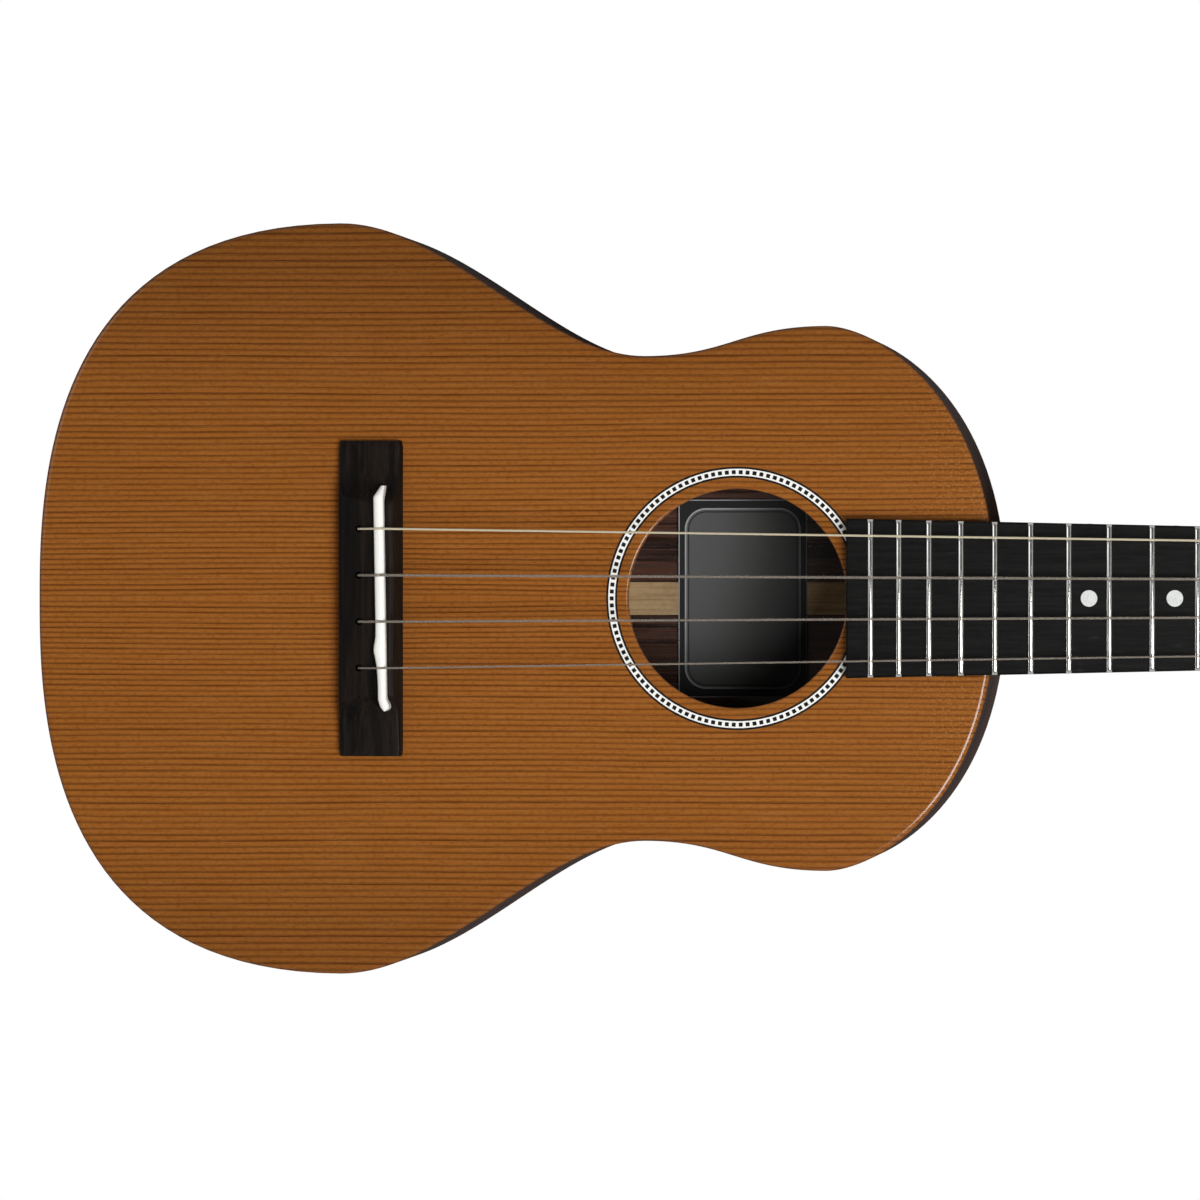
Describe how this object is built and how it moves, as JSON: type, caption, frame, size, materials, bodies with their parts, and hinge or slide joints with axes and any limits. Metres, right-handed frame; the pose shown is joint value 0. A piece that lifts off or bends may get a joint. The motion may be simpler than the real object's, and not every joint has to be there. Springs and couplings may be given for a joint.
{
  "type": "tenor ukulele",
  "caption": "Small guitar-shaped plucked instrument: hollow body with soundhole and rosette, through-strung bridge, bolt-on fretted neck, and geared tuners that turn the string posts",
  "frame": {"origin": "on the outer face of the flat back, on the centreline, under the centre of the soundhole", "axes": "+X from the body along the neck to the headstock, +Y to the side of the fourth string, +Z out of the soundboard"},
  "size_m": [0.683, 0.2418, 0.0798],
  "materials": {
    "cedar_top": "oiled gloss, straight grain",
    "rosewood_body": "gloss, dark figured grain",
    "rosewood_bridge": "satin, nearly black, open pores",
    "ebony": "satin black, fine pores",
    "mahogany_neck": "satin, straight grain",
    "block_wood": "bare, pale brown",
    "brace_wood": "bare spruce",
    "bone": "polished",
    "pearl": "polished, faint shimmer",
    "rosette_white": "lacquered",
    "rosette_black": "lacquered",
    "label_paper": "matt printed paper, blank",
    "fret_metal": "polished nickel silver",
    "tuner_nickel": "nickel plate",
    "gear_brass": "cut, unpolished",
    "bolt_steel": "zinc plated",
    "carbon": "carbon fibre",
    "string_clear": "clear polymer",
    "string_pale": "pale polymer",
    "button_pearloid": "moulded, polished"
  },
  "bodies": {
    "instrument": {"soundboard": "cedar_top", "back_plate": "rosewood_body", "bass_side": "rosewood_body", "treble_side": "rosewood_body", "neck_block": "block_wood", "tail_block": "block_wood", "end_graft": "rosewood_body", "top_linings": "block_wood", "back_linings": "block_wood", "transverse_braces": "brace_wood", "soundhole_patch": "brace_wood", "fan_braces": "brace_wood", "bridge_plate": "brace_wood", "back_braces": "brace_wood", "back_seam_strip": "block_wood", "label": "label_paper", "rosette_lines": "rosette_black", "rosette_band": "rosette_white", "rosette_squares": "rosette_black", "bridge": "rosewood_bridge", "saddle": "bone", "neck": "mahogany_neck", "headstock_veneer": "ebony", "heel_cap": "ebony", "fretboard": "ebony", "frets": "fret_metal", "nut": "bone", "position_markers": "pearl", "side_markers": "pearl", "neck_rod": "carbon", "neck_bolts": "bolt_steel", "neck_washers": "bolt_steel", "neck_inserts": "gear_brass", "string_g": "string_pale", "string_c": "string_clear", "string_e": "string_clear", "string_a": "string_clear", "tuner_plates": "tuner_nickel", "tuner_bushings": "tuner_nickel", "plate_screws": "tuner_nickel"},
    "key_g": {"worm_g": "tuner_nickel", "button_g": "button_pearloid"},
    "post_g": {"string_post_g": "tuner_nickel", "gear_g": "gear_brass", "string_coil_g": "string_pale"},
    "key_c": {"worm_c": "tuner_nickel", "button_c": "button_pearloid"},
    "post_c": {"string_post_c": "tuner_nickel", "gear_c": "gear_brass", "string_coil_c": "string_clear"},
    "key_e": {"worm_e": "tuner_nickel", "button_e": "button_pearloid"},
    "post_e": {"string_post_e": "tuner_nickel", "gear_e": "gear_brass", "string_coil_e": "string_clear"},
    "key_a": {"worm_a": "tuner_nickel", "button_a": "button_pearloid"},
    "post_a": {"string_post_a": "tuner_nickel", "gear_a": "gear_brass", "string_coil_a": "string_clear"}
  },
  "joints": [
    {"name": "key_turn_g", "type": "hinge", "parent": "instrument", "child": "key_g", "pos_m": [0.35447, 0.0195, 0.04444], "axis": [0, 1, 0], "continuous": true},
    {"name": "post_turn_g", "type": "hinge", "parent": "instrument", "child": "post_g", "pos_m": [0.36599, 0.0195, 0.05968], "axis": [0.2079, 0, 0.9781], "continuous": true},
    {"name": "key_turn_c", "type": "hinge", "parent": "instrument", "child": "key_c", "pos_m": [0.3936, 0.0195, 0.03613], "axis": [0, 1, 0], "continuous": true},
    {"name": "post_turn_c", "type": "hinge", "parent": "instrument", "child": "post_c", "pos_m": [0.40512, 0.0195, 0.05137], "axis": [0.2079, 0, 0.9781], "continuous": true},
    {"name": "key_turn_e", "type": "hinge", "parent": "instrument", "child": "key_e", "pos_m": [0.3936, -0.0195, 0.03613], "axis": [0, -1, 0], "continuous": true},
    {"name": "post_turn_e", "type": "hinge", "parent": "instrument", "child": "post_e", "pos_m": [0.40512, -0.0195, 0.05137], "axis": [0.2079, 0, 0.9781], "continuous": true},
    {"name": "key_turn_a", "type": "hinge", "parent": "instrument", "child": "key_a", "pos_m": [0.35447, -0.0195, 0.04444], "axis": [0, -1, 0], "continuous": true},
    {"name": "post_turn_a", "type": "hinge", "parent": "instrument", "child": "post_a", "pos_m": [0.36599, -0.0195, 0.05968], "axis": [0.2079, 0, 0.9781], "continuous": true}
  ],
  "couplings": [
    {"joint": "post_turn_g", "follows": "key_turn_g", "ratio": 0.071429},
    {"joint": "post_turn_c", "follows": "key_turn_c", "ratio": 0.071429},
    {"joint": "post_turn_e", "follows": "key_turn_e", "ratio": 0.071429},
    {"joint": "post_turn_a", "follows": "key_turn_a", "ratio": 0.071429}
  ]
}
